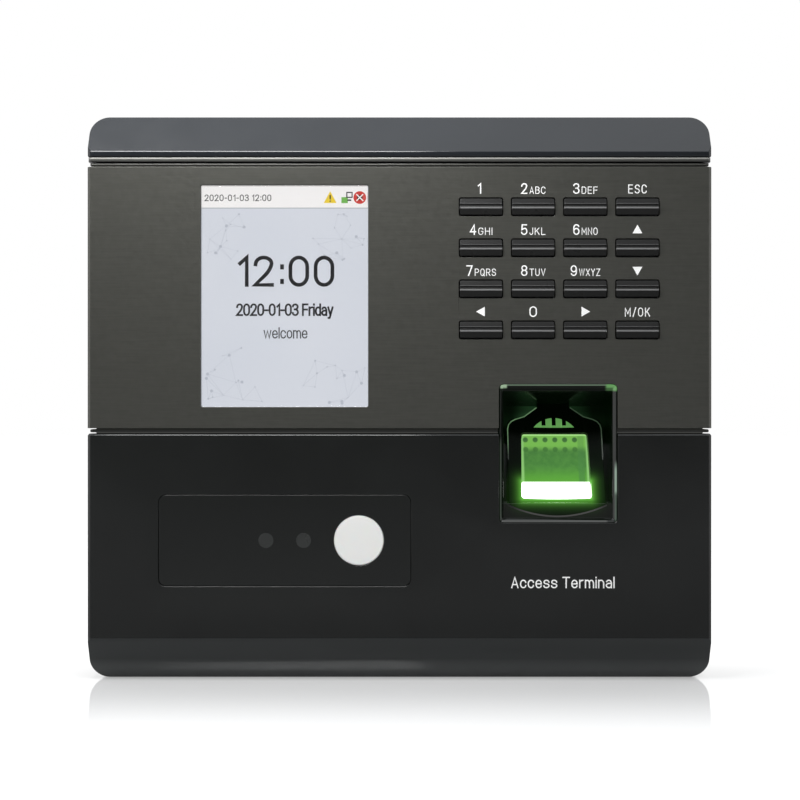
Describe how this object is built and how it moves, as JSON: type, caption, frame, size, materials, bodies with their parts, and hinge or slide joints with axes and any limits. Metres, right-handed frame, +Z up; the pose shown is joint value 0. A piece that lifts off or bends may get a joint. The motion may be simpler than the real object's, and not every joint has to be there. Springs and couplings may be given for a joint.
{
  "type": "fingerprint scanner terminal",
  "caption": "Wall-mounted fingerprint and face terminal with a colour display, a keypad, a lit finger recess and a smoked camera window.",
  "frame": {"origin": "centre of the wall plate's four screw holes, on the wall's surface", "axes": "+X to the right seen from the front, +Z up, +Y into the wall; the front face looks towards -Y"},
  "size_m": [0.166, 0.0328, 0.1508],
  "materials": {
    "cap_gloss": "glossy, blue-grey black",
    "panel_metallic": "satin metallic grey paint with a fine grain",
    "cover_gloss": "high gloss black",
    "chassis_black": "matt moulded black",
    "housing_grey": "fine texture, dark grey",
    "plate_steel": "zinc plated sheet",
    "screw_steel": "plated",
    "lens_clear": "clear, polished",
    "screen": "lit display",
    "shield_steel": "tinned shield",
    "flex_film": "polyimide film",
    "ribbon_film": "grey ribbon",
    "grey_rubber": "silicone rubber",
    "board_green": "solder mask",
    "smoked_window": "smoked, polished",
    "camera_black": "black barrel with a coated lens",
    "white_diffuser": "milky white",
    "led_cream": "clear resin over phosphor",
    "bezel_gloss": "gloss black",
    "guide_black": "satin black",
    "sensor_glass": "lit green optical glass",
    "jack_black": "moulded black",
    "terminal_green": "moulded green",
    "speaker_grey": "paper cone in a moulded frame",
    "button_white": "moulded white",
    "key_dark": "satin-gloss dark grey"
  },
  "bodies": {
    "terminal": {"top_cap": "cap_gloss", "front_panel": "panel_metallic", "lower_cover": "cover_gloss", "front_chassis": "chassis_black", "rear_housing": "housing_grey", "wall_plate": "plate_steel", "lock_screw": "screw_steel", "housing_screws": "screw_steel", "display_lens": "lens_clear", "lcd_panel": "screen", "lcd_frame": "shield_steel", "lcd_flex": "flex_film", "keypad_membrane": "grey_rubber", "keypad_board": "board_green", "keypad_ribbon": "ribbon_film", "camera_window": "smoked_window", "left_camera": "camera_black", "right_camera": "camera_black", "light_diffuser": "white_diffuser", "camera_board": "board_green", "fill_leds": "led_cream", "camera_flex": "flex_film", "sensor_bezel": "bezel_gloss", "finger_guide": "guide_black", "sensor_prism": "sensor_glass", "sensor_light": "led_cream", "sensor_case": "chassis_black", "sensor_camera": "camera_black", "sensor_board": "board_green", "sensor_flex": "flex_film", "main_board": "board_green", "ethernet_jack": "shield_steel", "power_jack": "jack_black", "terminal_block": "terminal_green", "usb_port": "shield_steel", "usb_board": "board_green", "coin_cell": "plate_steel", "cell_holder": "jack_black", "speaker_unit": "speaker_grey", "tamper_switch": "jack_black", "board_screws": "screw_steel"},
    "key_1_cap": {"key_1": "key_dark"},
    "key_2_cap": {"key_2": "key_dark"},
    "key_3_cap": {"key_3": "key_dark"},
    "key_esc_cap": {"key_esc": "key_dark"},
    "key_4_cap": {"key_4": "key_dark"},
    "key_5_cap": {"key_5": "key_dark"},
    "key_6_cap": {"key_6": "key_dark"},
    "key_up_cap": {"key_up": "key_dark"},
    "key_7_cap": {"key_7": "key_dark"},
    "key_8_cap": {"key_8": "key_dark"},
    "key_9_cap": {"key_9": "key_dark"},
    "key_down_cap": {"key_down": "key_dark"},
    "key_left_cap": {"key_left": "key_dark"},
    "key_0_cap": {"key_0": "key_dark"},
    "key_right_cap": {"key_right": "key_dark"},
    "key_ok_cap": {"key_ok": "key_dark"},
    "reset_cap": {"reset_button": "button_white"},
    "tamper_pin": {"tamper_plunger": "button_white"}
  },
  "joints": [
    {"name": "key_1_press", "type": "slide", "parent": "terminal", "child": "key_1_cap", "axis": [0, 1, 0], "range_m": [0, 0.0009], "stiffness_N_per_m": 1200, "springref_m": -0.0003},
    {"name": "key_2_press", "type": "slide", "parent": "terminal", "child": "key_2_cap", "axis": [0, 1, 0], "range_m": [0, 0.0009], "stiffness_N_per_m": 1200, "springref_m": -0.0003},
    {"name": "key_3_press", "type": "slide", "parent": "terminal", "child": "key_3_cap", "axis": [0, 1, 0], "range_m": [0, 0.0009], "stiffness_N_per_m": 1200, "springref_m": -0.0003},
    {"name": "key_esc_press", "type": "slide", "parent": "terminal", "child": "key_esc_cap", "axis": [0, 1, 0], "range_m": [0, 0.0009], "stiffness_N_per_m": 1200, "springref_m": -0.0003},
    {"name": "key_4_press", "type": "slide", "parent": "terminal", "child": "key_4_cap", "axis": [0, 1, 0], "range_m": [0, 0.0009], "stiffness_N_per_m": 1200, "springref_m": -0.0003},
    {"name": "key_5_press", "type": "slide", "parent": "terminal", "child": "key_5_cap", "axis": [0, 1, 0], "range_m": [0, 0.0009], "stiffness_N_per_m": 1200, "springref_m": -0.0003},
    {"name": "key_6_press", "type": "slide", "parent": "terminal", "child": "key_6_cap", "axis": [0, 1, 0], "range_m": [0, 0.0009], "stiffness_N_per_m": 1200, "springref_m": -0.0003},
    {"name": "key_up_press", "type": "slide", "parent": "terminal", "child": "key_up_cap", "axis": [0, 1, 0], "range_m": [0, 0.0009], "stiffness_N_per_m": 1200, "springref_m": -0.0003},
    {"name": "key_7_press", "type": "slide", "parent": "terminal", "child": "key_7_cap", "axis": [0, 1, 0], "range_m": [0, 0.0009], "stiffness_N_per_m": 1200, "springref_m": -0.0003},
    {"name": "key_8_press", "type": "slide", "parent": "terminal", "child": "key_8_cap", "axis": [0, 1, 0], "range_m": [0, 0.0009], "stiffness_N_per_m": 1200, "springref_m": -0.0003},
    {"name": "key_9_press", "type": "slide", "parent": "terminal", "child": "key_9_cap", "axis": [0, 1, 0], "range_m": [0, 0.0009], "stiffness_N_per_m": 1200, "springref_m": -0.0003},
    {"name": "key_down_press", "type": "slide", "parent": "terminal", "child": "key_down_cap", "axis": [0, 1, 0], "range_m": [0, 0.0009], "stiffness_N_per_m": 1200, "springref_m": -0.0003},
    {"name": "key_left_press", "type": "slide", "parent": "terminal", "child": "key_left_cap", "axis": [0, 1, 0], "range_m": [0, 0.0009], "stiffness_N_per_m": 1200, "springref_m": -0.0003},
    {"name": "key_0_press", "type": "slide", "parent": "terminal", "child": "key_0_cap", "axis": [0, 1, 0], "range_m": [0, 0.0009], "stiffness_N_per_m": 1200, "springref_m": -0.0003},
    {"name": "key_right_press", "type": "slide", "parent": "terminal", "child": "key_right_cap", "axis": [0, 1, 0], "range_m": [0, 0.0009], "stiffness_N_per_m": 1200, "springref_m": -0.0003},
    {"name": "key_ok_press", "type": "slide", "parent": "terminal", "child": "key_ok_cap", "axis": [0, 1, 0], "range_m": [0, 0.0009], "stiffness_N_per_m": 1200, "springref_m": -0.0003},
    {"name": "reset_press", "type": "slide", "parent": "terminal", "child": "reset_cap", "axis": [0, -1, 0], "range_m": [0, 0.0003], "stiffness_N_per_m": 2000, "springref_m": -0.0003},
    {"name": "tamper_press", "type": "slide", "parent": "terminal", "child": "tamper_pin", "axis": [0, -1, 0], "range_m": [0, 0.0008], "stiffness_N_per_m": 400, "springref_m": -0.0012}
  ]
}
